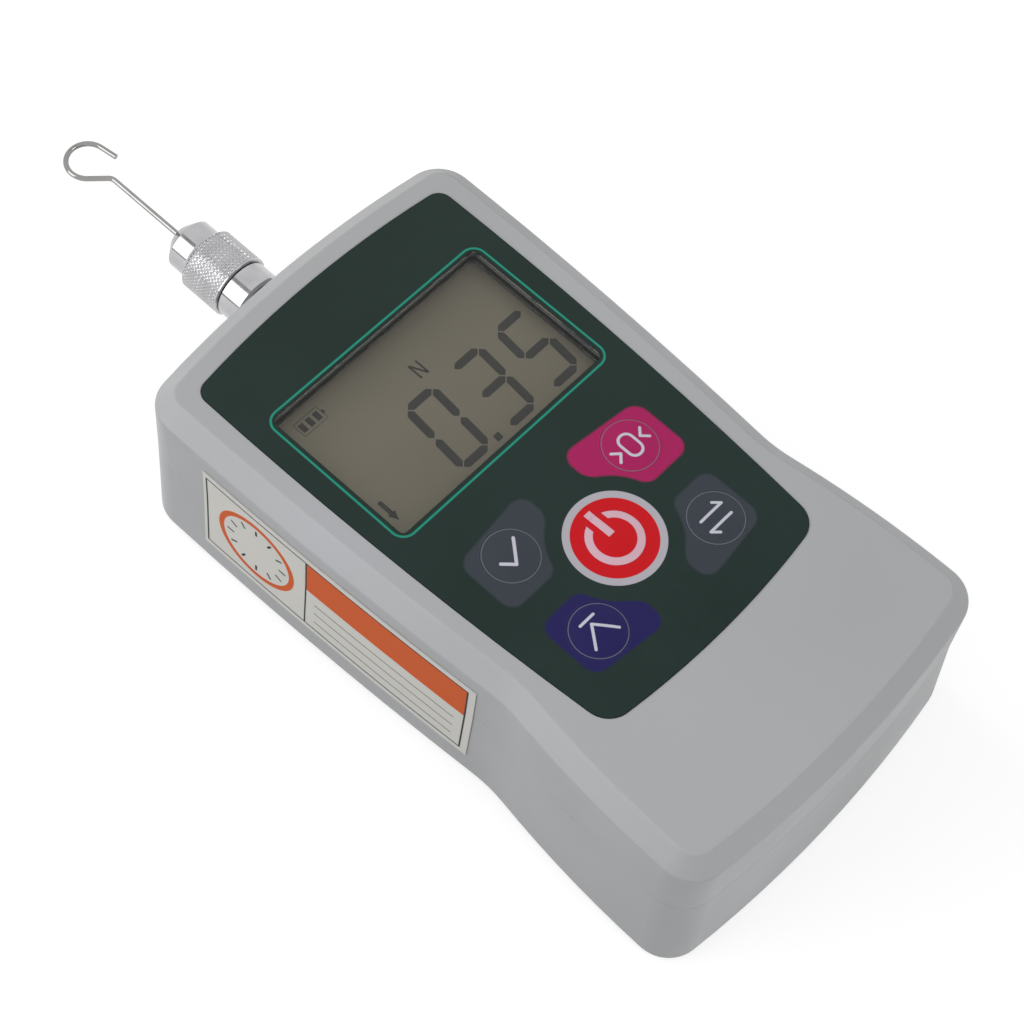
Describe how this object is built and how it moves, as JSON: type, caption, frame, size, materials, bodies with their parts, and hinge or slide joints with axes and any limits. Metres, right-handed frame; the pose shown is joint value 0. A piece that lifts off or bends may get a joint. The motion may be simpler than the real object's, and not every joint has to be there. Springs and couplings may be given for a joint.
{
  "type": "digital force gauge",
  "caption": "Handheld digital force gauge: waisted two-part housing with display, round membrane keys and a screw chuck that holds a wire hook.",
  "frame": {"origin": "centre of the four stand threads, on the flat back of the housing", "axes": "+Z out of the display face, +Y from the base end towards the hook, +X to the right of the display"},
  "size_m": [0.072, 0.1778, 0.0364],
  "materials": {
    "housing_plastic": "fine satin texture",
    "overlay_film": "satin printed film",
    "window_clear": "polished clear acrylic",
    "display_glass": "satin reflective display",
    "inner_black_plastic": "moulded",
    "silicone": "matt",
    "board_laminate": "solder mask",
    "chip_black": "matt epoxy",
    "screw_steel": "zinc plated",
    "brass_insert": "turned",
    "cell_aluminium": "milled",
    "chuck_steel": "turned and knurled, bright plated",
    "wire_steel": "bright drawn wire",
    "battery_wrap": "shrink wrap",
    "foam": "foam pad",
    "label_film": "satin printed film",
    "key_dark": "satin printed dome",
    "key_red": "satin printed dome"
  },
  "bodies": {
    "housing": {"front_case": "housing_plastic", "rear_case": "housing_plastic", "face_overlay": "overlay_film", "display_window": "window_clear", "lcd_holder": "inner_black_plastic", "lcd_panel": "display_glass", "elastomer_strips": "silicone", "main_board": "board_laminate", "board_chips": "chip_black", "key_switches": "chip_black", "board_screws": "screw_steel", "case_screws": "screw_steel", "case_inserts": "brass_insert", "stand_inserts": "brass_insert", "load_cell": "cell_aluminium", "cell_screws": "screw_steel", "cell_carrier": "cell_aluminium", "carrier_screws": "screw_steel", "shaft_bushing": "inner_black_plastic", "battery_pack": "battery_wrap", "battery_pad": "foam", "socket_board": "board_laminate", "socket_screws": "screw_steel", "charge_jack": "inner_black_plastic", "data_port": "screw_steel", "side_label": "label_film"},
    "force_shaft": {"sensor_shaft": "chuck_steel", "shaft_nut": "screw_steel", "chuck_hub": "chuck_steel"},
    "chuck_collet": {"collet": "chuck_steel"},
    "chuck_sleeve": {"chuck_nut": "chuck_steel"},
    "wire_hook": {"hook": "wire_steel"},
    "key_power_body": {"key_power": "key_red"},
    "key_zero_body": {"key_zero": "key_dark"},
    "key_set_body": {"key_set": "key_dark"},
    "key_unit_body": {"key_unit": "key_dark"},
    "key_peak_body": {"key_peak": "key_dark"}
  },
  "joints": [
    {"name": "shaft_slide", "type": "slide", "parent": "housing", "child": "force_shaft", "axis": [0, 1, 0], "range_m": [-0.0005, 0.0005], "stiffness_N_per_m": 10000},
    {"name": "chuck_advance", "type": "slide", "parent": "force_shaft", "child": "chuck_collet", "axis": [0, 1, 0], "range_m": [0, 0.00113]},
    {"name": "nut_turn", "type": "hinge", "parent": "chuck_collet", "child": "chuck_sleeve", "pos_m": [0, 0.08, 0.015], "axis": [0, 1, 0], "range_deg": [0, 540]},
    {"name": "hook_turn", "type": "hinge", "parent": "chuck_collet", "child": "wire_hook", "pos_m": [0, 0.08, 0.015], "axis": [0, 1, 0], "continuous": true},
    {"name": "key_power_press", "type": "slide", "parent": "housing", "child": "key_power_body", "axis": [0, 0, -1], "range_m": [0, 0.0004], "stiffness_N_per_m": 80, "springref_m": -0.001},
    {"name": "key_zero_press", "type": "slide", "parent": "housing", "child": "key_zero_body", "axis": [0, 0, -1], "range_m": [0, 0.0004], "stiffness_N_per_m": 80, "springref_m": -0.001},
    {"name": "key_set_press", "type": "slide", "parent": "housing", "child": "key_set_body", "axis": [0, 0, -1], "range_m": [0, 0.0004], "stiffness_N_per_m": 80, "springref_m": -0.001},
    {"name": "key_unit_press", "type": "slide", "parent": "housing", "child": "key_unit_body", "axis": [0, 0, -1], "range_m": [0, 0.0004], "stiffness_N_per_m": 80, "springref_m": -0.001},
    {"name": "key_peak_press", "type": "slide", "parent": "housing", "child": "key_peak_body", "axis": [0, 0, -1], "range_m": [0, 0.0004], "stiffness_N_per_m": 80, "springref_m": -0.001}
  ],
  "couplings": [
    {"joint": "chuck_advance", "follows": "nut_turn", "m_per_rad": 0.00011937}
  ]
}
